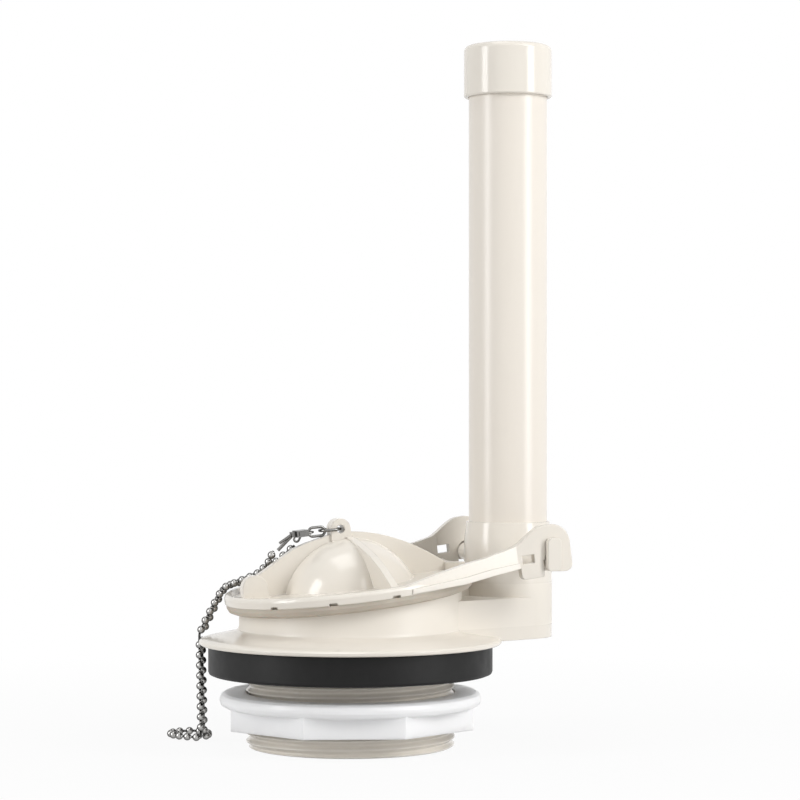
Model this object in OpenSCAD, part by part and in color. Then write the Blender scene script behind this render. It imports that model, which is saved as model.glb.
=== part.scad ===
// Flush valve of a toilet tank, with an overflow tube, a tilted flapper and a bead chain.
// Sizes are in millimetres. Z is up along the drain, X runs from the drain to the overflow tube,
// and the middle of the shank's lower end is the origin. The flapper's pins lie along Y.

/* [Shank and flange] */
// Diameter of the outlet bore
bore_d = 74; // [64:0.5:76]
// Outside diameter of the shank, over its thread
shank_d = 83.4; // [76:0.2:90]
// Least wall of the shank
shank_wall = 3.5; // [3:0.1:6]
// Height of the flange's underside above the shank's end
shank_h = 41; // [34:0.5:60]
// Diameter of the flange
flange_d = 120.8; // [112:0.2:140]
// Thickness of the flange at its edge
flange_edge = 2; // [1.5:0.1:4]
// Rise of the flange's top from its edge to the drum
flange_rise = 3; // [1:0.1:5]

/* [Seat] */
// Outside diameter of the seat drum
drum_d = 89; // [84:0.2:96]
// Width of the flat ring that the seal lies on
seat_w = 4; // [3:0.1:6]
// Height of the seat's middle above the shank's end
seat_z = 58.4; // [53:0.2:64]
// Tilt of the seat, rising towards the hinge, in degrees
seat_tilt = 6.7; // [4:0.1:8]

/* [Overflow] */
// Distance of the overflow tube from the drain
tube_x = 69.3; // [68:0.1:76]
// Outside diameter of the overflow tube
tube_d = 32; // [26:0.2:33]
// Wall of the overflow tube
tube_wall = 3; // [1.8:0.1:4]
// Height of the tube's upper end
tube_top = 280.4; // [180:0.5:340]
// Outside diameter of the socket that holds the tube
socket_d = 36; // [35:0.1:38]
// Height of the socket's upper end
socket_top = 88.6; // [84:0.2:96]
// Height of the ledge that the tube stands on
ledge_z = 61; // [60:0.5:66]
// Height of the channel between the drum and the socket
channel_h = 17; // [14:0.5:18]
// Wall of the channel
channel_wall = 2.4; // [1.6:0.1:3]
// Outside diameter of the cap on the tube
cap_d = 36; // [35:0.1:42]
// Height of the cap
cap_h = 21.2; // [12:0.2:30]
// Thickness of the cap's lip over the tube's end
cap_lip = 3; // [1.5:0.1:5]

/* [Gasket and nut] */
// Outside diameter of the tank gasket
gasket_d = 113.6; // [104:0.2:118]
// Thickness of the tank gasket
gasket_t = 12; // [8:0.2:13]
// Across the flats of the lock nut
nut_af = 95.2; // [92:0.2:102]
// Least wall of the nut at its flats
nut_wall = 4.4; // [3:0.1:6]
// Diameter of the nut's round flange
nut_flange_d = 104.4; // [102:0.2:112]
// Height of the nut's underside above the shank's end
nut_z = 8.3; // [5:0.1:9]
// Whole height of the nut
nut_h = 13.5; // [12:0.2:16]
// Thickness of the nut's flange
nut_flange_t = 5.6; // [3:0.1:7]
// Turn of the nut about the shank, in degrees
nut_turn = 3; // [-22:0.1:22]

/* [Flapper] */
// Diameter of the flapper's rim
rim_d = 100; // [98:0.2:104]
// Height of the rim
rim_t = 4; // [3:0.1:6]
// Width of the rim
rim_w = 3; // [3:0.1:6]
// Thickness of the plate inside the rim
plate_t = 2.4; // [1.8:0.1:3]
// Diameter of the rubber seal
seal_d = 99; // [96:0.2:99]
// Thickness of the rubber seal
seal_t = 3.6; // [3:0.1:6]
// Radius of the dome
dome_r = 28.7; // [24:0.1:30]
// Wall of the dome
dome_wall = 2.4; // [1.6:0.1:3]
// Thickness of the fin along the middle
fin_t = 3; // [2:0.1:4]
// Thickness of the eye that takes the chain
eye_t = 5; // [3.4:0.1:5.4]
// Diameter of the hole in the eye
eye_hole_d = 3.4; // [3:0.1:4]
// Thickness of each arm
arm_t = 3; // [2.4:0.1:3.4]

/* [Hinge] */
// Distance of the hinge pins from the drain
hinge_x = 68.6; // [67.5:0.1:74]
// Height of the hinge pins
hinge_z = 74.4; // [73:0.1:78]
// Diameter of each pin
pin_d = 6; // [5:0.1:6.6]
// Distance of each ear's middle from the mid plane
ear_y = 42; // [40:0.1:43]

/* [Chain] */
// Diameter of the bead chain
bead_d = 3.2; // [2.4:0.1:3.2]
// Diameter of the hook and ring wire
wire_d = 1.1; // [0.9:0.1:1.2]

/* [Hidden] */
$fn = 96;
clear = 0.3;
snug = 0.06;
bore_r = bore_d / 2;
shank_r = max(shank_d / 2, bore_r + shank_wall);
flange_r = flange_d / 2;
drum_r = drum_d / 2;
drum_bore_r = drum_r - seat_w;
flange_top = shank_h + flange_edge + flange_rise;
tube_r = tube_d / 2;
tube_bore_r = tube_r - tube_wall;
socket_r = socket_d / 2;
collar_r = max(socket_r - 1, tube_r + 0.9);
collar_z = socket_top - 8.4;
cap_r = cap_d / 2;
cap_z = tube_top + cap_lip - cap_h;
channel_z = shank_h + 0.6;
channel_floor = channel_z + channel_wall;
channel_roof = channel_z + channel_h - channel_wall;
channel_taper = 15;
gasket_r = gasket_d / 2;
nut_bore_r = shank_r + clear;
nut_flat_r = max(nut_af / 2, nut_bore_r + nut_wall);
nut_corner_r = nut_flat_r / cos(22.5);
nut_flange_r = max(nut_flange_d / 2, nut_corner_r + 0.6);
rim_lip = 0.5;
rim_r = max(rim_d / 2, seal_d / 2 + rim_lip);
seal_z = clear;
rim_z = seal_z + seal_t;
rim_top = rim_z + rim_t;
plate_top = rim_z + plate_t;
dome_x = -0.9;
dome_z = -3.9;
fin_top = dome_z + dome_r;
retainer_r = drum_bore_r - 3.2;
seal_bore_r = retainer_r - 4;
// The hinge's place, seen from the seat
hx = hinge_x * cos(seat_tilt) + (hinge_z - seat_z) * sin(seat_tilt);
hz = -hinge_x * sin(seat_tilt) + (hinge_z - seat_z) * cos(seat_tilt);
rear_cut_r = socket_r + 7.5;
pin_r = pin_d / 2;
arm_angle = atan((rim_r - 0.4 - ear_y - arm_t / 2) / (hx - 15));
ear_in = ear_y - arm_t / 2;
ear_out = ear_y + arm_t / 2;
eye_x = -1.8;
eye_z = fin_top + 4;
eye_r = 4.2;
bead_r = bead_d / 2;
STRAND_SIDES = 8;
// The middle of the chain's bend at the flange's edge and of its foot, and half the strands' spread there
drop_x = -51.1 * flange_r / 60.4;
drop_y = 36 * flange_r / 60.4;
drop_z = shank_h + 2.4;
floor_z = bead_r + 0.1;
foot = [drop_x + 0.7, drop_y - 0.3, floor_z];
top_spread = [1.04, 1.47, 0];
foot_spread = [1.44, 1.14, 0];
eye_at = to_part([eye_x, 0, eye_z]);
// The hook, ring and clip, one after the other down the fin
hook_l = 9.6;
hook_tilt = 4.5;
ring_l = 8;
ring_w = 4.6;
ring_tilt = 4.5;
clip_l = 5;
clip_w = 5.4;
clip_tilt = 6;
ring_at = eye_at + [2.1 - hook_l - ring_l / 2 + 2 * wire_d, 0, -1];
clip_at = ring_at + [-ring_l / 2 - 0.3, 0, -0.3];
link_at = clip_at + [-2.4, clip_w / 2 + 1.3, -2];

// A point on the tilted flapper, in the part's own frame
function to_part(p) = [p[0] * cos(seat_tilt) - p[2] * sin(seat_tilt), p[1],
    seat_z + p[0] * sin(seat_tilt) + p[2] * cos(seat_tilt)];

function unit(v) = v / norm(v);

// The way a strand runs at one of its points
function strand_way(p, i) = unit((i == 0 ? [0, 0, 0] : unit(p[i] - p[i - 1]))
    + (i == len(p) - 1 ? [0, 0, 0] : unit(p[i + 1] - p[i])));

// The points round a strand, in the plane across its way
function strand_ring(at, way, side) = let (u = unit(cross(side, way)), v = cross(way, u))
    [for (k = [0 : STRAND_SIDES - 1]) let (a = 360 * (k + 0.5) / STRAND_SIDES)
        at + bead_d / 2 * (u * cos(a) + v * sin(a))];

// The two triangles between one ring and the next
function strand_faces(i, k) = let (a = i * STRAND_SIDES + k, b = i * STRAND_SIDES + (k + 1) % STRAND_SIDES)
    [[a, a + STRAND_SIDES, b], [b, a + STRAND_SIDES, b + STRAND_SIDES]];

module on_seat() {
    translate([0, 0, seat_z]) rotate([0, -seat_tilt, 0]) children();
}

// A flat shape in X and Z, made thick along Y about the mid plane
module upright(thickness) {
    translate([0, thickness / 2, 0]) rotate([90, 0, 0]) linear_extrude(height = thickness) children();
}

module both_sides() {
    children();
    mirror([0, 1, 0]) children();
}

// A round bar between two points
module bar(a, b, d) {
    v = b - a;
    translate(a) rotate([0, acos(v[2] / norm(v)), atan2(v[1], v[0])]) cylinder(h = norm(v), d = d, $fn = 24);
}

// An oval wire link in the XY plane, its longer way along X
module oval_link(length, width, d) {
    straight = length - width;
    for (s = [-1, 1]) {
        translate([s * straight / 2, 0, 0]) rotate([0, 0, -90 * s]) rotate_extrude(angle = 180, $fn = 48)
            translate([(width - d) / 2, 0]) circle(d = d, $fn = 24);
        translate([-straight / 2, s * (width - d) / 2, 0]) rotate([0, 90, 0])
            cylinder(h = straight, d = d, $fn = 24);
    }
}

// One strand of chain as a plain tube: a ring of points at each point of its route
module strand(route, side) {
    n = len(route);
    rings = [for (i = [0 : n - 1]) strand_ring(route[i], strand_way(route, i), side)];
    color([0.62, 0.62, 0.63]) polyhedron(
        points = [for (r = rings) each r],
        faces = concat(
            [[for (k = [0 : STRAND_SIDES - 1]) k]],
            [for (i = [0 : n - 2], k = [0 : STRAND_SIDES - 1]) each strand_faces(i, k)],
            [[for (k = [STRAND_SIDES - 1 : -1 : 0]) (n - 1) * STRAND_SIDES + k]]));
}

// The moulded body: shank, flange, tilted seat, overflow channel, tube socket and hinge pins
module valve_body() {
    color([0.87, 0.84, 0.79]) difference() {
        union() {
            difference() {
                rotate_extrude() body_profile();
                on_seat() translate([-flange_d, -flange_d, 0]) cube([2 * flange_d, 2 * flange_d, 60]);
            }
            translate([0, 0, channel_z]) linear_extrude(height = channel_h)
                channel_outline(socket_r, drum_bore_r - 6.5);
            translate([tube_x, 0, channel_z]) rotate_extrude()
                polygon([[1, 0], [socket_r, 0], [socket_r, collar_z - channel_z],
                    [collar_r, socket_top - channel_z],
                    [1, socket_top - channel_z]]);
            upright(3) socket_web();
            both_sides() hinge_pin();
        }
        translate([0, 0, -1]) cylinder(h = channel_floor + 1, r = bore_r);
        translate([0, 0, channel_floor - 0.5]) cylinder(h = 60, r = drum_bore_r);
        translate([0, 0, channel_floor]) linear_extrude(height = channel_roof - channel_floor)
            channel_outline(socket_r - channel_wall, drum_bore_r - 11);
        translate([tube_x, 0, channel_floor])
            cylinder(h = channel_roof - channel_floor, r = socket_r - channel_wall);
        translate([tube_x, 0, channel_floor]) cylinder(h = ledge_z - channel_floor + 1, r = tube_bore_r);
        translate([tube_x, 0, ledge_z]) cylinder(h = socket_top, r = tube_r + snug);
    }
}

// The channel seen from above: sides that touch the socket's circle and spread towards the drum
module channel_outline(r, from_x) {
    touch_x = tube_x + r * sin(channel_taper);
    touch_y = r * cos(channel_taper);
    wide = touch_y + (touch_x - from_x) * tan(channel_taper);
    polygon([[from_x, -wide], [touch_x, -touch_y], [touch_x, touch_y], [from_x, wide]]);
}

module body_profile() {
    polygon([[1, 0], [shank_r - 1.6, 0], [shank_r - 0.5, 0.5], [shank_r, 1.6],
        [shank_r, shank_h], [flange_r - 0.4, shank_h], [flange_r, shank_h + 0.4],
        [flange_r, shank_h + flange_edge - 0.7], [flange_r - 0.7, shank_h + flange_edge],
        [drum_r + 5, flange_top - 0.8], [drum_r + 2, flange_top], [drum_r + 0.6, flange_top + 0.8],
        [drum_r, flange_top + 2.2], [drum_r, seat_z + drum_r * tan(seat_tilt) + 4],
        [1, seat_z + drum_r * tan(seat_tilt) + 4]]);
}

// The low web on the channel's top that joins the drum to the socket
module socket_web() {
    translate([drum_r - 2, channel_z + channel_h - 1]) square([tube_x - socket_r + 3 - drum_r, 5]);
}

// One hinge pin on its boss, with an upright head that keeps the ear on
module hinge_pin() {
    translate([hinge_x, -socket_r + 2, hinge_z]) rotate([90, 0, 0])
        cylinder(h = ear_in - clear - socket_r + 2, r = pin_r + 0.9);
    translate([hinge_x, -socket_r, hinge_z]) rotate([90, 0, 0])
        cylinder(h = ear_out + 2 - socket_r, r = pin_r);
    translate([hinge_x - 0.2, -ear_out - clear - 1.1, hinge_z + 2.8]) upright(2.2) rounded_bar(5.7, 13, 1.8);
}

// An upright bar with round corners
module rounded_bar(width, height, r) {
    square([width - 2 * r, height], center = true);
    square([width, height - 2 * r], center = true);
    for (x = [-1, 1], z = [-1, 1]) {
        translate([x * (width / 2 - r), z * (height / 2 - r)]) circle(r = r, $fn = 32);
    }
}

module overflow_tube() {
    color([0.87, 0.84, 0.79]) translate([tube_x, 0, ledge_z]) difference() {
        cylinder(h = tube_top - ledge_z, r = tube_r);
        translate([0, 0, -1]) cylinder(h = tube_top, r = tube_bore_r);
    }
}

module overflow_cap() {
    color([0.87, 0.84, 0.79]) translate([tube_x, 0, cap_z]) rotate_extrude()
        polygon([[tube_r + snug, 0.6], [tube_r + 0.5, 0], [cap_r - 0.5, 0], [cap_r, 0.5],
            [cap_r, cap_h - 2], [cap_r - 0.4, cap_h - 1], [cap_r - 1, cap_h - 0.4], [cap_r - 2, cap_h],
            [tube_bore_r + 0.8, cap_h], [tube_bore_r, cap_h - 0.8], [tube_bore_r, cap_h - cap_lip],
            [tube_r + snug, cap_h - cap_lip]]);
}

module tank_gasket() {
    color([0.05, 0.05, 0.055]) translate([0, 0, shank_h - gasket_t]) rotate_extrude()
        polygon([[shank_r + clear, 0.6], [shank_r + clear + 0.6, 0], [gasket_r - 1.2, 0],
            [gasket_r - 0.35, 0.35], [gasket_r, 1.2], [gasket_r, gasket_t - 0.6],
            [gasket_r - 0.6, gasket_t], [shank_r + clear, gasket_t]]);
}

module lock_nut() {
    color([0.9, 0.91, 0.92]) translate([0, 0, nut_z]) rotate([0, 0, nut_turn]) difference() {
        union() {
            cylinder(h = nut_h - 1, r = nut_corner_r, $fn = 8);
            translate([0, 0, nut_h - nut_flange_t]) rotate_extrude()
                polygon([[1, 0], [nut_flange_r - 2, 0], [nut_flange_r - 0.6, 0.8],
                    [nut_flange_r, 2.2], [nut_flange_r, nut_flange_t - 2.2],
                    [nut_flange_r - 0.6, nut_flange_t - 0.8], [nut_flange_r - 2, nut_flange_t],
                    [1, nut_flange_t]]);
        }
        translate([0, 0, -1]) cylinder(h = nut_h + 2, r = nut_bore_r);
    }
}

// The flapper's moulded frame: rim, plate, dome, ribs, chain eye and two arms with hooked ears
module flapper_frame() {
    color([0.87, 0.84, 0.79]) on_seat() difference() {
        union() {
            difference() {
                union() {
                    rotate_extrude() disc_profile();
                    rear_wall();
                    dome_shell();
                    cross_rib();
                    upright(fin_t) fin_outline();
                }
                translate([hx, 0, -40]) cylinder(h = 100, r = rear_cut_r);
                translate([dome_x, 0, dome_z]) dome_hollow();
            }
            upright(eye_t) eye_outline();
            front_tab();
            both_sides() arm();
        }
        translate([eye_x, 0, eye_z]) rotate([90, 0, 0]) cylinder(h = 20, d = eye_hole_d, center = true);
        rim_notches();
        both_sides() ear_slot();
    }
}

module disc_profile() {
    polygon([[1, rim_z], [rim_r - 0.3, rim_z], [rim_r, rim_z + 0.3], [rim_r, rim_top - 1.4],
        [rim_r - 0.4, rim_top - 0.5], [rim_r - 1.3, rim_top], [rim_r - rim_w, rim_top],
        [rim_r - rim_w - 0.8, plate_top], [1, plate_top]]);
}

// The low wall round the hollow that the tube's socket stands in, lowest at the fin
module rear_wall() {
    wall_t = 3;
    wall_h = rim_t + 1.5;
    intersection() {
        translate([hx, 0, rim_z]) cylinder(h = wall_h, r = rear_cut_r + wall_t);
        translate([0, -10.6, rim_z]) cube([rim_r - 0.6, 21.2, wall_h]);
    }
}

module dome_shell() {
    intersection() {
        translate([dome_x, 0, dome_z]) rotate([90, 0, 0]) sphere(r = dome_r);
        translate([-dome_r - 5, -dome_r - 5, rim_z]) cube([2 * dome_r + 10, 2 * dome_r + 10, dome_r + 10]);
    }
}

module dome_hollow() {
    rotate([90, 0, 0]) sphere(r = dome_r - dome_wall);
}

// The rib across the dome, out to the rim on both sides
module cross_rib() {
    rib_t = 3;
    rib_end = rim_r - rim_w - 0.4;
    rotate([90, 0, 90]) linear_extrude(height = rib_t) both_ways()
        polygon([[-1, rim_z], [rib_end, rim_z], [rib_end, rim_top - 1], [41.5, fin_top - 14.2],
            [35.2, fin_top - 10.3], [27, fin_top - 6.4], [18, fin_top - 3.4], [9, fin_top - 0.9],
            [0, fin_top + 1], [-1, fin_top + 1]]);
}

// A flat shape and its mirror image left of the middle
module both_ways() {
    children();
    mirror([1, 0]) children();
}

module fin_outline() {
    polygon([[-39.6, rim_z], [-39.2, fin_top - 11], [-37.9, fin_top - 9.4], [-33.6, fin_top - 7.3],
        [-27.5, fin_top - 4], [-21.6, fin_top - 1.1], [-16, fin_top + 0.4], [-11.5, fin_top + 1.2],
        [-6.4, fin_top + 2.2], [4.1, fin_top + 2.2], [9.6, fin_top + 1.2],
        [14.6, fin_top - 0.2], [19.3, fin_top - 1.9], [24.7, fin_top - 4.3], [28.8, fin_top - 6.4],
        [32.5, fin_top - 8.6], [36.8, fin_top - 11.4], [40.8, fin_top - 14.2], [44.6, fin_top - 17.3],
        [46, rim_z]]);
}

module eye_outline() {
    translate([eye_x, eye_z]) circle(r = eye_r);
    translate([eye_x - eye_r, fin_top - 2.4]) square([2 * eye_r, eye_z - fin_top + 2.4]);
}

// The rounded upright tab near the front of the rim
module front_tab() {
    tab_w = 10.4;
    tab_x = 8.6 - rim_r;
    translate([0, -4.4, 0]) upright(3.6) {
        translate([tab_x, rim_top + 2.8]) circle(d = tab_w);
        translate([tab_x - tab_w / 2, rim_z]) square([tab_w, rim_t + 2.8]);
    }
}

// Shallow notches in the rim's lower edge, five on each side
module rim_notches() {
    for (a = [33 : 28.5 : 147]) {
        both_sides() rotate([0, 0, a]) translate([rim_r - 2, -1.6, rim_z - 0.5]) cube([4, 3.2, 1.5]);
    }
}

// One arm: a web that runs in from the rim, and an ear parallel to the mid plane
module arm() {
    translate([0, -ear_y, 0]) upright(arm_t) ear_outline();
    translate([hx - 15, -ear_y, 0]) rotate([0, 0, arm_angle]) {
        upright(arm_t) translate([15 - hx, 0]) web_outline();
        translate([0, -0.6, 0]) upright(arm_t + 1.2) translate([15 - hx, 0]) ledge_outline();
    }
}

module web_outline() {
    polygon([[5.2, rim_z + 0.5], [hx - 40, hz - 3.2], [hx - 27, hz - 1.8], [hx - 13, hz],
        [hx - 13, hz + 8.9], [hx - 15.6, hz + 8], [hx - 20.8, hz + 6.9], [hx - 29.8, hz + 5.4],
        [hx - 39.4, hz + 4.3], [hx - 52.8, hz + 2.2], [2, rim_top - 0.6]]);
}

// The wider strip along the web's lower edge
module ledge_outline() {
    polygon([[6, rim_z + 0.5], [hx - 40, hz - 3.2], [hx - 27, hz - 1.8], [hx - 15, hz - 0.9],
        [hx - 15, hz + 1.3], [hx - 27, hz + 0.8], [hx - 40, hz - 0.6], [6.4, rim_z + 2.4]]);
}

module ear_outline() {
    difference() {
        union() {
            translate([hx + 0.4, hz + 6.8]) circle(r = 8);
            translate([hx + 5.6, hz - 1.6]) circle(r = 2.9);
            polygon([[hx - 15.4, hz - 0.5], [hx - 15.4, hz + 8.1], [hx - 13.8, hz + 8.8], [hx - 12, hz + 9.9],
                [hx - 9.5, hz + 11.6], [hx - 7.2, hz + 13], [hx - 4.6, hz + 14.3], [hx - 2.4, hz + 14.75],
                [hx + 0.4, hz + 14.8],
                [hx + 8.4, hz + 7], [hx + 8.5, hz - 1.6], [hx + 5, hz - 4.5], [hx - 4, hz - 3.5]]);
            translate([hx - 8.3, hz + 1]) rounded_bar(11, 13, 2);
        }
        translate([hx - 13.2, hz + 0.6]) square([5.6, 3.4]);
    }
}

// The hook's mouth, open downwards, with room above the pin
module ear_slot() {
    slot_w = pin_d + 0.5;
    translate([hx, -ear_y + 4, hz]) rotate([90, 0, 0]) {
        cylinder(h = 8, d = slot_w);
        translate([0, 1.2, 0]) cylinder(h = 8, d = slot_w);
        translate([-3.9, 0, 0]) cube([3.9 + slot_w / 2, 1.2, 8]);
        translate([-3.9, -12, 0]) cube([6.2, 12, 8]);
    }
}

module flapper_seal() {
    color([0.78, 0.75, 0.70]) on_seat() rotate_extrude()
        polygon([[seal_bore_r, seal_z], [seal_d / 2 - 2.2, seal_z], [seal_d / 2 - 0.7, seal_z + 0.7],
            [seal_d / 2, seal_z + 2.2], [seal_d / 2, rim_z], [seal_bore_r, rim_z]]);
}

// The ring that holds the seal up against the frame
module seal_retainer() {
    color([0.87, 0.84, 0.79]) on_seat() rotate_extrude()
        polygon([[seal_bore_r - 2.6, seal_z - 2], [retainer_r - 0.8, seal_z - 2], [retainer_r, seal_z - 1.2],
            [retainer_r, seal_z], [seal_bore_r - 0.1, seal_z], [seal_bore_r - 0.1, rim_z],
            [seal_bore_r - 2.6, rim_z]]);
}

// The wire link through the flapper's eye
module eye_hook() {
    width = eye_t + 2 * (wire_d + clear);
    color([0.62, 0.62, 0.63]) translate(eye_at) rotate([0, -hook_tilt, 0])
        translate([0.5 + wire_d / 2 - hook_l / 2, 0, 0]) oval_link(hook_l, width, wire_d);
}

// The oval ring that joins the eye's link to the clip
module chain_ring() {
    color([0.62, 0.62, 0.63]) translate(ring_at) rotate([90, -ring_tilt, 0])
        oval_link(ring_l, ring_w, wire_d);
}

// The clip's pressed body, with a bail through the ring
module snap_clip() {
    color([0.6, 0.6, 0.61]) translate(clip_at) rotate([0, -clip_tilt, 0]) {
        translate([-clip_l, -clip_w / 2, -1.3]) cube([clip_l, clip_w, 2.6]);
        translate([-clip_l + 1, -clip_w / 2 - 0.4, -0.8]) cube([1.6, clip_w + 0.8, 1.6]);
        translate([-0.9, 0, 0]) oval_link(clip_l + 2.8, clip_w - 0.3, 0.8 * wire_d);
    }
}

// The clip's two spring prongs, in one block behind its body
module clip_wire() {
    color([0.62, 0.62, 0.63]) translate(clip_at) rotate([0, -clip_tilt, 0])
        translate([-clip_l - 0.9, 0, 0]) {
            translate([-0.8, -1.3, -1]) cube([1.6, 2.6, 2]);
            bar([0, 0, 0.2], [-5.8, 0.2, -2.8], wire_d);
            bar([0, 0.6, -0.4], [-6.1, 2.2, -5.7], 1.2 * wire_d);
        }
}

// The small link that starts the first strand
module end_link() {
    color([0.62, 0.62, 0.63]) translate(link_at) rotate([90, -62, 0]) oval_link(4.6, 3, 0.8 * wire_d);
}

// Where the strands cross the rim
rim_lift = rim_top + bead_r + 0.4;
cross_a = to_part([-38.4, 28.2, rim_lift]);
cross_b = to_part([-41.6, 26.5, rim_lift]);
top_a = [drop_x, drop_y, drop_z] + top_spread;
top_b = [drop_x, drop_y, drop_z] - top_spread;
floor_a = foot + foot_spread;
floor_b = foot - foot_spread;

module chain_upper_a() {
    strand([eye_at + [-16.8, 5, -6.6], eye_at + [-19.1, 6.2, -8.8], eye_at + [-21.2, 8.6, -11.3],
        eye_at + [-23.8, 13, -15], eye_at + [-27, 19, -18.6], cross_a, cross_a + [-3.2, 2.6, -1.4],
        top_a + [2, -1.6, 5.2], top_a + [0.5, -0.4, 2.1]], [0.77, 0.64, 0]);
}

module chain_upper_b() {
    strand([eye_at + [-26.4, 3.6, -8.7], eye_at + [-26.6, 5.2, -10.4], eye_at + [-26.6, 7.7, -12.7],
        eye_at + [-27.8, 11, -15.6], eye_at + [-29.5, 15, -18.2], cross_b, cross_b + [-2.4, 1.7, -2.2],
        top_b + [1.8, -1.4, 5.2], top_b + [0.5, -0.4, 2.1]], [0.77, 0.64, 0]);
}

module chain_drop_a() {
    strand([top_a - [0, 0, 1.5], 0.67 * top_a + 0.33 * floor_a, 0.33 * top_a + 0.67 * floor_a,
        floor_a + [0, 0, bead_d + 0.5 - bead_r]], [1, 0, 0]);
}

module chain_drop_b() {
    strand([top_b - [0, 0, 1.5], 0.67 * top_b + 0.33 * floor_b, 0.33 * top_b + 0.67 * floor_b,
        floor_b + [0, 0, bead_d + 0.5 - bead_r]], [1, 0, 0]);
}

// The loop of spare chain on the floor
module chain_tail() {
    strand([floor_b, foot + [-4.17, 1.95, 0], foot + [-6.95, 5.7, 0], foot + [-8.71, 10.32, 0],
        foot + [-8.61, 15.26, 0], foot + [-6.22, 19.47, 0], foot + [-1.89, 21.57, 0], foot + [2.64, 20.99, 0],
        foot + [5.65, 17.8, 0], foot + [6.41, 13.37, 0], foot + [5.39, 8.81, 0], foot + [3.62, 4.56, 0],
        floor_a], [0, 0, 1]);
}

valve_body();
overflow_tube();
overflow_cap();
tank_gasket();
lock_nut();
flapper_frame();
flapper_seal();
seal_retainer();
eye_hook();
chain_ring();
snap_clip();
clip_wire();
end_link();
chain_upper_a();
chain_upper_b();
chain_drop_a();
chain_drop_b();
chain_tail();
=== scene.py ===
"""The look of a toilet tank's flush valve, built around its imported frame.

Lengths are in metres, but the chain and the thread are laid out in millimetres.
"""
import math

import bmesh
import bpy
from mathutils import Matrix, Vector


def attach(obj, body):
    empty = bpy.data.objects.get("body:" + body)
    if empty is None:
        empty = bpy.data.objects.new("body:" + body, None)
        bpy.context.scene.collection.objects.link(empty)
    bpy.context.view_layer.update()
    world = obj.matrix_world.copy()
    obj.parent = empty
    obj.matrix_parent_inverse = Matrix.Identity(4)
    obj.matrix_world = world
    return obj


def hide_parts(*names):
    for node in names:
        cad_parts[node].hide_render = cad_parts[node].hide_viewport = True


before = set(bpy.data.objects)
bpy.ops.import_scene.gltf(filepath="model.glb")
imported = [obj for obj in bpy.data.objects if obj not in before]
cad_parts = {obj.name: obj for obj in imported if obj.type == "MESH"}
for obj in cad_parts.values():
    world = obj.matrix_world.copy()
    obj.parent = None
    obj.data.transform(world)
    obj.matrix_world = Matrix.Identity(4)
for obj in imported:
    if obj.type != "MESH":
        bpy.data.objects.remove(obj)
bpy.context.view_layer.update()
scene = bpy.context.scene
scene.view_settings.view_transform = "Standard"

MM = 0.001


# Helpers for meshes

def mesh_object(name, points, faces, material, smooth=True):
    mesh = bpy.data.meshes.new(name)
    mesh.from_pydata([tuple(p) for p in points], [], faces)
    mesh.validate()
    mesh.polygons.foreach_set("use_smooth", [smooth] * len(mesh.polygons))
    mesh.materials.append(material)
    obj = bpy.data.objects.new(name, mesh)
    scene.collection.objects.link(obj)
    return obj


def frame_across(way):
    """Two unit vectors across a direction."""
    helper = Vector((0, 0, 1)) if abs(way.z) < 0.9 else Vector((1, 0, 0))
    u = way.cross(helper).normalized()
    return u, way.cross(u).normalized()


def bridge_rings(count, sides):
    """Faces between rings of points that follow each other, with an end face at each end."""
    faces = []
    for i in range(count - 1):
        a, b = i * sides, (i + 1) * sides
        for k in range(sides):
            j = (k + 1) % sides
            faces.append((a + k, a + j, b + j, b + k))
    faces.append(tuple(range(sides - 1, -1, -1)))
    faces.append(tuple((count - 1) * sides + k for k in range(sides)))
    return faces


# Helpers for routes

CURVE_STEPS = 40


def smooth_route(points, count):
    """Points at even steps on a smooth curve through the given ones."""
    ends = [2 * points[0] - points[1]] + points + [2 * points[-1] - points[-2]]
    dense = []
    for i in range(1, len(ends) - 2):
        p0, p1, p2, p3 = ends[i - 1:i + 3]
        for k in range(CURVE_STEPS):
            t = k / CURVE_STEPS
            dense.append(0.5 * (2 * p1 + (p2 - p0) * t + (2 * p0 - 5 * p1 + 4 * p2 - p3) * t ** 2
                                + (3 * p1 - p0 - 3 * p2 + p3) * t ** 3))
    dense.append(points[-1])
    total = route_length(dense)
    return [point_along(dense, total * i / (count - 1)) for i in range(count)]


def route_length(points):
    return sum((b - a).length for a, b in zip(points, points[1:]))


def point_along(points, way):
    for a, b in zip(points, points[1:]):
        step = (b - a).length
        if way <= step:
            return a.lerp(b, way / step)
        way -= step
    return points[-1].copy()


# Helpers for materials

NOISE_LOW = 0.3
NOISE_HIGH = 0.7


def srgb(red, green, blue):
    """A colour given in 0 to 255, as the linear colour that a shader takes."""
    def channel(c):
        c /= 255
        return c / 12.92 if c <= 0.04045 else ((c + 0.055) / 1.055) ** 2.4
    return (channel(red), channel(green), channel(blue), 1)


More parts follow.
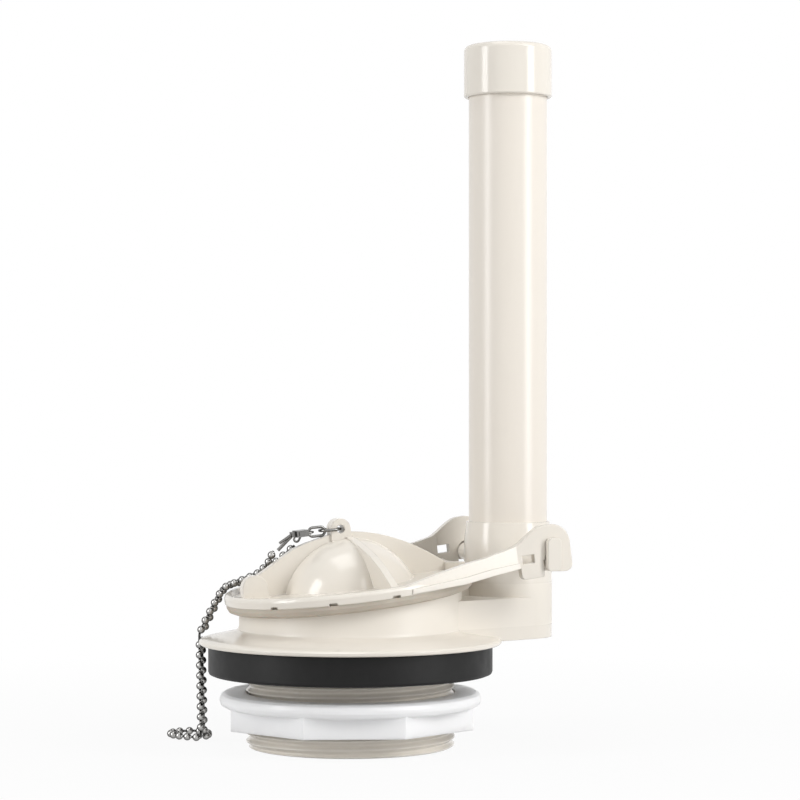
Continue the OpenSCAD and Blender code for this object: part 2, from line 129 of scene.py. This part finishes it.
class Shader:
    """A Principled material and short ways to feed it."""

    def __init__(self, name):
        self.material = bpy.data.materials.new(name)
        self.material.use_nodes = True
        self.tree = self.material.node_tree
        self.bsdf = self.tree.nodes["Principled BSDF"]
        self.place = self.tree.nodes.new("ShaderNodeTexCoord").outputs["Object"]
        self.edges = None

    def set(self, **values):
        for name, value in values.items():
            self.bsdf.inputs[name.replace("_", " ")].default_value = value

    def join(self, output, socket):
        self.tree.links.new(output, socket)

    def noise(self, scale, detail, stretch=(1, 1, 1)):
        mapping = self.tree.nodes.new("ShaderNodeMapping")
        mapping.inputs["Scale"].default_value = stretch
        self.join(self.place, mapping.inputs["Vector"])
        node = self.tree.nodes.new("ShaderNodeTexNoise")
        node.inputs["Scale"].default_value = scale
        node.inputs["Detail"].default_value = detail
        self.join(mapping.outputs["Vector"], node.inputs["Vector"])
        return node.outputs["Fac"]

    def ramp(self, factor, stops):
        node = self.tree.nodes.new("ShaderNodeValToRGB")
        for element, (position, colour) in zip(node.color_ramp.elements, (stops[0], stops[-1])):
            element.position = position
            element.color = colour
        for position, colour in stops[1:-1]:
            node.color_ramp.elements.new(position).color = colour
        self.join(factor, node.inputs["Fac"])
        return node.outputs["Color"]

    def colour(self, factor, low, high):
        self.join(self.ramp(factor, [(NOISE_LOW, low), (NOISE_HIGH, high)]), self.bsdf.inputs["Base Color"])

    def roughness(self, factor, low, high):
        node = self.tree.nodes.new("ShaderNodeMapRange")
        node.inputs["From Min"].default_value = NOISE_LOW
        node.inputs["From Max"].default_value = NOISE_HIGH
        node.inputs["To Min"].default_value = low
        node.inputs["To Max"].default_value = high
        self.join(factor, node.inputs["Value"])
        self.join(node.outputs["Result"], self.bsdf.inputs["Roughness"])

    def height(self, span):
        """The height over the floor, as a share of a span in metres."""
        place = self.tree.nodes.new("ShaderNodeNewGeometry")
        split = self.tree.nodes.new("ShaderNodeSeparateXYZ")
        self.join(place.outputs["Position"], split.inputs["Vector"])
        node = self.tree.nodes.new("ShaderNodeMath")
        node.operation = "MULTIPLY"
        node.inputs[1].default_value = 1 / span
        self.join(split.outputs["Z"], node.inputs[0])
        return node.outputs["Value"]

    def facing(self):
        return self.tree.nodes.new("ShaderNodeLayerWeight").outputs["Facing"]

    def soft_edges(self, radius):
        node = self.tree.nodes.new("ShaderNodeBevel")
        node.samples = 6
        node.inputs["Radius"].default_value = radius
        self.edges = node.outputs["Normal"]

    def bump(self, height, depth, strength):
        node = self.tree.nodes.new("ShaderNodeBump")
        if self.edges:
            self.join(self.edges, node.inputs["Normal"])
        node.inputs["Strength"].default_value = strength
        node.inputs["Distance"].default_value = depth
        self.join(height, node.inputs["Height"])
        self.join(node.outputs["Normal"], self.bsdf.inputs["Normal"])


# Materials

PLASTIC_IOR = 1.5
RUBBER_IOR = 1.45
ALONG_PIPE = (1, 1, 0.3)

# Roughness of the valve's body at heights in millimetres: the drum's wall is duller than what is next to it
HEIGHT_SPAN = 100
GLOSS = 0.17
DULL = 0.45
BODY_ROUGHNESS = [(0, GLOSS), (46.5, GLOSS), (48, DULL), (63, DULL), (64.5, GLOSS), (HEIGHT_SPAN, GLOSS)]

# Painted reflection on the steel: grey tones at shares of the way from facing the eye to turned away, bright
# where it faces the eye and dark towards its edges, standing in for a dark room reflected in it
BEAD_PAINTED_REFLECTION = [(0.0, 190), (0.2, 152), (0.5, 88), (0.8, 52), (1.0, 112)]
CLIP_PAINTED_REFLECTION = [(0.0, 132), (0.25, 108), (0.55, 74), (0.8, 50), (1.0, 100)]


def moulded_plastic(name):
    """The bone plastic's colour and skin, without its roughness."""
    s = Shader(name)
    s.soft_edges(radius=0.0005)
    s.colour(s.noise(scale=14, detail=2), srgb(225, 219, 209), srgb(227, 221, 211))
    s.bump(s.noise(scale=2400, detail=2), depth=0.000006, strength=0.4)
    s.set(IOR=PLASTIC_IOR)
    return s


def lid_plastic():
    s = moulded_plastic("bone_plastic")
    s.roughness(s.noise(scale=500, detail=2), 0.145, 0.175)
    return s.material


def body_plastic():
    s = moulded_plastic("bone_body")
    stops = [(at / HEIGHT_SPAN, (rough, rough, rough, 1)) for at, rough in BODY_ROUGHNESS]
    s.join(s.ramp(s.height(HEIGHT_SPAN * MM), stops), s.bsdf.inputs["Roughness"])
    return s.material


def pipe_plastic():
    s = Shader("drawn_pipe")
    s.soft_edges(radius=0.0004)
    s.colour(s.noise(scale=12, detail=2, stretch=ALONG_PIPE), srgb(226, 219, 209), srgb(228, 221, 211))
    s.roughness(s.noise(scale=40, detail=2, stretch=ALONG_PIPE), 0.28, 0.3)
    s.bump(s.noise(scale=300, detail=2, stretch=ALONG_PIPE), depth=0.000002, strength=0.2)
    s.set(IOR=PLASTIC_IOR)
    return s.material


def black_rubber():
    s = Shader("black_rubber")
    s.colour(s.noise(scale=220, detail=5), srgb(13, 13, 13), srgb(18, 18, 18))
    s.roughness(s.noise(scale=160, detail=4), 0.44, 0.54)
    s.bump(s.noise(scale=1600, detail=3), depth=0.00002, strength=0.5)
    s.set(IOR=RUBBER_IOR, Specular_IOR_Level=0.3)
    return s.material


def clear_white_plastic():
    s = Shader("clear_white_plastic")
    s.soft_edges(radius=0.0006)
    s.colour(s.noise(scale=30, detail=3), srgb(243, 243, 244), srgb(247, 247, 248))
    s.roughness(s.noise(scale=110, detail=3), 0.3, 0.4)
    s.bump(s.noise(scale=1300, detail=2), depth=0.00002, strength=0.5)
    s.set(Subsurface_Weight=0.7, Subsurface_Radius=(1.0, 0.99, 0.98), Subsurface_Scale=0.008, IOR=PLASTIC_IOR)
    return s.material


def seal_rubber():
    s = Shader("seal_rubber")
    s.colour(s.noise(scale=120, detail=4), srgb(182, 173, 160), srgb(191, 182, 169))
    s.roughness(s.noise(scale=200, detail=3), 0.6, 0.75)
    s.bump(s.noise(scale=1400, detail=3), depth=0.00004, strength=0.5)
    s.set(Subsurface_Weight=0.15, Subsurface_Scale=0.002, IOR=RUBBER_IOR)
    return s.material


def chain_steel(name, painted_reflection_tones):
    """Bright steel, a little warm in each of its grey tones, which paint its reflection: bright where it
    faces the eye, dark towards its edges.
    """
    s = Shader(name)
    stops = [(at, srgb(tone, tone - 1, tone - 3)) for at, tone in painted_reflection_tones]
    # Painted reflection: the base colour follows the facing ramp, darkening towards the edges as a reflected
    # dark room would
    s.join(s.ramp(s.facing(), stops), s.bsdf.inputs["Base Color"])
    s.roughness(s.noise(scale=700, detail=3), 0.16, 0.26)
    s.bump(s.noise(scale=2600, detail=2), depth=0.00001, strength=0.4)
    s.set(Metallic=1.0)
    return s.material


bone = lid_plastic()
hardware = chain_steel("clip_steel", CLIP_PAINTED_REFLECTION)
bead_steel = chain_steel("bead_steel", BEAD_PAINTED_REFLECTION)
NODE_LOOKS = {
    "valve_body": body_plastic(),
    "overflow_tube": pipe_plastic(),
    "overflow_cap": bone,
    "tank_gasket": black_rubber(),
    "lock_nut": clear_white_plastic(),
    "flapper_frame": bone,
    "flapper_seal": seal_rubber(),
    "seal_retainer": bone,
    "eye_hook": hardware,
    "chain_ring": hardware,
    "snap_clip": hardware,
    "clip_wire": hardware,
    "end_link": hardware,
}
for node, material in NODE_LOOKS.items():
    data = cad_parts[node].data
    data.materials.clear()
    data.materials.append(material)


# Camera, level, from a little left of the object's own front

CAMERA_TURN = math.radians(-22.5)
CAMERA_PLACE = (-0.3797, -0.9684, 0.135)
CAMERA_LENS = 117
CAMERA_RISE = 0.01

camera_data = bpy.data.cameras.new("camera")
camera_data.lens = CAMERA_LENS
camera_data.sensor_width = 36
camera_data.shift_y = CAMERA_RISE
camera_data.clip_start = 0.01
camera = bpy.data.objects.new("camera", camera_data)
camera.location = CAMERA_PLACE
camera.rotation_euler = (math.radians(90), 0, CAMERA_TURN)
scene.collection.objects.link(camera)
scene.camera = camera


# The bead chain: two strands from the clip over the rim, down the side and round on the floor

BEAD_D = 3.2
BEAD_SIDES = 14
BEAD_PITCH = 4.2
LINK_D = 1.0
NECK_SHARE = 0.86
ROUTE_POINTS = 33
SEAT_Z = 58.4
SEAT_TILT = math.radians(6.7)


def to_part(x, y, z):
    """A point given in the tilted seat's own frame."""
    return Vector((x * math.cos(SEAT_TILT) - z * math.sin(SEAT_TILT), y,
                   SEAT_Z + x * math.sin(SEAT_TILT) + z * math.cos(SEAT_TILT)))


def from_point(start, *steps):
    return [start + Vector(step) for step in steps]


def straight_down(start, top, foot):
    """A route from a start onto the straight line between a strand's top and its foot."""
    return [start, top.lerp(foot, 0.33), top.lerp(foot, 0.67), foot]


EYE = to_part(-1.8, 0, 28.8)
CROSS_A = to_part(-38.4, 28.2, 9.9)
CROSS_B = to_part(-41.6, 26.5, 9.9)
TOP_A = Vector((-50.06, 37.47, 43.4))
TOP_B = Vector((-52.14, 34.53, 43.4))
TOP_GAP_A = Vector((0, 0, 1.3))
FOOT = Vector((-50.4, 35.7, 1.7))
FOOT_HALF = Vector((1.15, 1.43, 0))
FLOOR_A = FOOT + FOOT_HALF
FLOOR_B = FOOT - FOOT_HALF

STRANDS = {
    "chain_upper_a": ("flapper", [
        *from_point(EYE, (-16.8, 5, -6.6), (-19.1, 6.2, -8.8), (-21.2, 8.6, -11.3), (-23.8, 13, -15)),
        *from_point(EYE, (-27, 19, -18.6)),
        *from_point(CROSS_A, (0, 0, 0), (-3.2, 2.6, -1.4)),
        *from_point(TOP_A, (2, -1.6, 5.2), (0.4, -0.3, 1.1)),
    ]),
    "chain_upper_b": ("flapper", [
        *from_point(EYE, (-26.4, 3.6, -8.7), (-26.6, 5.2, -10.4), (-26.6, 7.7, -12.7), (-27.8, 11, -15.6)),
        *from_point(EYE, (-29.5, 15, -18.2)),
        *from_point(CROSS_B, (0, 0, 0), (-2.4, 1.7, -2.2)),
        *from_point(TOP_B, (1.8, -1.4, 5.2), (0, 0, 0)),
    ]),
    "chain_drop_a": ("chain_hang", straight_down(TOP_A - TOP_GAP_A, TOP_A, FLOOR_A)),
    "chain_drop_b": ("chain_hang", straight_down(TOP_B, TOP_B, FLOOR_B)),
    "chain_tail": ("chain_loop", [
        FLOOR_B,
        *from_point(FOOT, (-4.17, 1.95, 0), (-6.95, 5.7, 0), (-8.71, 10.32, 0), (-8.61, 15.26, 0)),
        *from_point(FOOT, (-6.22, 19.47, 0), (-1.89, 21.57, 0), (2.64, 20.99, 0), (5.65, 17.8, 0)),
        *from_point(FOOT, (6.41, 13.37, 0), (5.39, 8.81, 0), (3.62, 4.56, 0)),
        FLOOR_A,
    ]),
}

# The first bead's way from a strand's start, in pitches
FIRST_BEAD = {"chain_drop_a": 0.34, "chain_drop_b": 1.0}
FIRST_BEAD_ELSEWHERE = 0.5


def bead_profile():
    """Places along a bead and the radius there, from one neck over the ball to the other."""
    ball = BEAD_D / 2
    neck = LINK_D / 2
    rows = [(-ball * NECK_SHARE, neck)]
    for angle in range(156, 20, -12):
        rows.append((ball * math.cos(math.radians(angle)), ball * math.sin(math.radians(angle))))
    rows.append((ball * NECK_SHARE, neck))
    return rows


def bead_strand(name, route, first):
    """One closed mesh of beads on their links along a route, the first some pitches from its start."""
    total = route_length(route)
    count = round(total / BEAD_PITCH)
    pitch = total / count
    points = []

    def ring(middle, way, radius):
        u, v = frame_across(way)
        for k in range(BEAD_SIDES):
            a = 2 * math.pi * k / BEAD_SIDES
            points.append((middle + radius * (u * math.cos(a) + v * math.sin(a))) * MM)

    first_way = (point_along(route, 0.5) - route[0]).normalized()
    ring(route[0], first_way, LINK_D / 2)
    for i in range(count if first < 1 else count - 1):
        place = (i + first) * pitch
        middle = point_along(route, place)
        way = (point_along(route, place + 0.2 * pitch) - point_along(route, place - 0.2 * pitch)).normalized()
        for along, radius in bead_profile():
            ring(middle + way * along, way, radius)
    ring(route[-1], way, LINK_D / 2)
    return mesh_object(name, points, bridge_rings(len(points) // BEAD_SIDES, BEAD_SIDES), bead_steel)


for node, (body, points) in STRANDS.items():
    route = smooth_route(points, ROUTE_POINTS)
    strand = bead_strand(node + "_beads", route, FIRST_BEAD.get(node, FIRST_BEAD_ELSEWHERE))
    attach(strand, body)
    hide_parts(node)


# The shank's thread, a helical groove that a hidden cutter takes out of the body

SHANK_R = 41.7
THREAD_PITCH = 3.36
THREAD_DEPTH = 1.6
THREAD_START = -4.04
THREAD_TURNS = 12
THREAD_STEPS = 96
THREAD_RUNOUT = 0.4
MOUTH_HALF = 1.45
ROOT_HALF = 0.3
CUTTER_REACH = 0.4
RUNOUT_CLEARANCE = 0.2
WELD_REACH = 0.002
SHARP_ANGLE = math.radians(32)


def thread_cutter():
    sides = ((SHANK_R + CUTTER_REACH, MOUTH_HALF), (SHANK_R, MOUTH_HALF), (SHANK_R - THREAD_DEPTH, ROOT_HALF))
    outline = [(radius, -half) for radius, half in sides]
    outline += [(radius, half) for radius, half in reversed(sides)]
    total = THREAD_STEPS * THREAD_TURNS
    points = []
    for i in range(total + 1):
        angle = 2 * math.pi * i / THREAD_STEPS
        middle = THREAD_START + THREAD_PITCH * i / THREAD_STEPS
        fade = min(1, (total - i) / (THREAD_STEPS * THREAD_RUNOUT))
        least = SHANK_R + RUNOUT_CLEARANCE - (THREAD_DEPTH + RUNOUT_CLEARANCE) * fade
        for radius, along in outline:
            reach = max(radius, least)
            points.append(Vector((reach * math.cos(angle), reach * math.sin(angle), middle + along)) * MM)
    cutter = mesh_object("thread_cutter", points, bridge_rings(total + 1, len(outline)), bone, smooth=False)
    cutter.hide_render = True
    faces = bmesh.new()
    faces.from_mesh(cutter.data)
    bmesh.ops.recalc_face_normals(faces, faces=faces.faces)
    faces.to_mesh(cutter.data)
    faces.free()
    return cutter


valve_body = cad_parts["valve_body"]
weld = valve_body.modifiers.new("weld", "WELD")
weld.merge_threshold = WELD_REACH * MM
cut = valve_body.modifiers.new("thread", "BOOLEAN")
cut.operation = "DIFFERENCE"
cut.solver = "EXACT"
cut.object = thread_cutter()
split = valve_body.modifiers.new("sharp_edges", "EDGE_SPLIT")
split.split_angle = SHARP_ANGLE
split.use_edge_sharp = False


# Floor and world, white to the camera, with the object's shadow left on the floor

WHITE = (1, 1, 1, 1)
WORLD_LIGHT = 0.25
FLOOR_GREY = (0.65, 0.65, 0.65, 1)
FLOOR_HALF = 3.0
FLOOR_Z = -0.0003
NEAR = 0.08
FAR = 0.4
WHITE_SHARE_NEAR = 0.93
WHITE_SHARE_FAR = 1.0


def seen_rays(nodes, links):
    """1 for camera, glossy and transmission rays, 0 for the rays that light things."""
    path = nodes.new("ShaderNodeLightPath")
    most = path.outputs["Is Camera Ray"]
    for name in ("Is Glossy Ray", "Is Transmission Ray"):
        node = nodes.new("ShaderNodeMath")
        node.operation = "MAXIMUM"
        links.new(most, node.inputs[0])
        links.new(path.outputs[name], node.inputs[1])
        most = node.outputs["Value"]
    return most


def white_floor():
    """White to what sees it, a little less so near the object, where the shadow shows."""
    material = bpy.data.materials.new("studio_floor")
    material.use_nodes = True
    nodes, links = material.node_tree.nodes, material.node_tree.links
    nodes.clear()
    output = nodes.new("ShaderNodeOutputMaterial")
    diffuse = nodes.new("ShaderNodeBsdfDiffuse")
    diffuse.inputs["Color"].default_value = FLOOR_GREY
    glow = nodes.new("ShaderNodeEmission")
    place = nodes.new("ShaderNodeTexCoord")
    distance = nodes.new("ShaderNodeVectorMath")
    distance.operation = "LENGTH"
    links.new(place.outputs["Object"], distance.inputs[0])
    share = nodes.new("ShaderNodeMapRange")
    share.inputs["From Min"].default_value = NEAR
    share.inputs["From Max"].default_value = FAR
    share.inputs["To Min"].default_value = WHITE_SHARE_NEAR
    share.inputs["To Max"].default_value = WHITE_SHARE_FAR
    links.new(distance.outputs["Value"], share.inputs["Value"])
    amount = nodes.new("ShaderNodeMath")
    amount.operation = "MULTIPLY"
    links.new(share.outputs["Result"], amount.inputs[0])
    links.new(seen_rays(nodes, links), amount.inputs[1])
    mix = nodes.new("ShaderNodeMixShader")
    links.new(amount.outputs["Value"], mix.inputs["Fac"])
    links.new(diffuse.outputs["BSDF"], mix.inputs[1])
    links.new(glow.outputs["Emission"], mix.inputs[2])
    links.new(mix.outputs["Shader"], output.inputs["Surface"])
    return material


def background(nodes, strength):
    node = nodes.new("ShaderNodeBackground")
    node.inputs["Color"].default_value = WHITE
    node.inputs["Strength"].default_value = strength
    return node.outputs["Background"]


corners = [(-FLOOR_HALF, -FLOOR_HALF, FLOOR_Z), (FLOOR_HALF, -FLOOR_HALF, FLOOR_Z),
           (FLOOR_HALF, FLOOR_HALF, FLOOR_Z), (-FLOOR_HALF, FLOOR_HALF, FLOOR_Z)]
floor = mesh_object("floor", corners, [(0, 1, 2, 3)], white_floor())

world = bpy.data.worlds.new("studio")
world.use_nodes = True
scene.world = world
nodes, links = world.node_tree.nodes, world.node_tree.links
nodes.clear()
world_mix = nodes.new("ShaderNodeMixShader")
links.new(seen_rays(nodes, links), world_mix.inputs["Fac"])
links.new(background(nodes, WORLD_LIGHT), world_mix.inputs[1])
links.new(background(nodes, 1.0), world_mix.inputs[2])
world_output = nodes.new("ShaderNodeOutputWorld")
links.new(world_mix.outputs["Shader"], world_output.inputs["Surface"])


# Soft boxes left and right of the camera, a large fill on the right and a weak light from above

def soft_box(name, turn, distance, height, size, power, aim_z):
    """An area lamp at an angle in degrees right of the camera, turned to the object."""
    light = bpy.data.lights.new(name, "AREA")
    light.shape = "RECTANGLE"
    light.size, light.size_y = size
    light.energy = power
    lamp = bpy.data.objects.new(name, light)
    angle = CAMERA_TURN + math.radians(turn)
    lamp.location = (distance * math.sin(angle), -distance * math.cos(angle), height)
    aim = Vector((0.01, 0, aim_z)) - lamp.location
    lamp.rotation_euler = aim.to_track_quat("-Z", "Y").to_euler()
    scene.collection.objects.link(lamp)


soft_box("left_box", turn=-64, distance=0.9, height=0.4, size=(0.28, 0.78), power=5.1, aim_z=0.13)
soft_box("right_box", turn=63, distance=0.9, height=0.4, size=(0.28, 0.78), power=5.4, aim_z=0.13)
soft_box("front_fill", turn=46, distance=1.3, height=1.15, size=(0.9, 0.7), power=6.5, aim_z=0.12)
soft_box("top_fill", turn=-70, distance=0.14, height=1.2, size=(0.6, 0.5), power=2.6, aim_z=0.1)
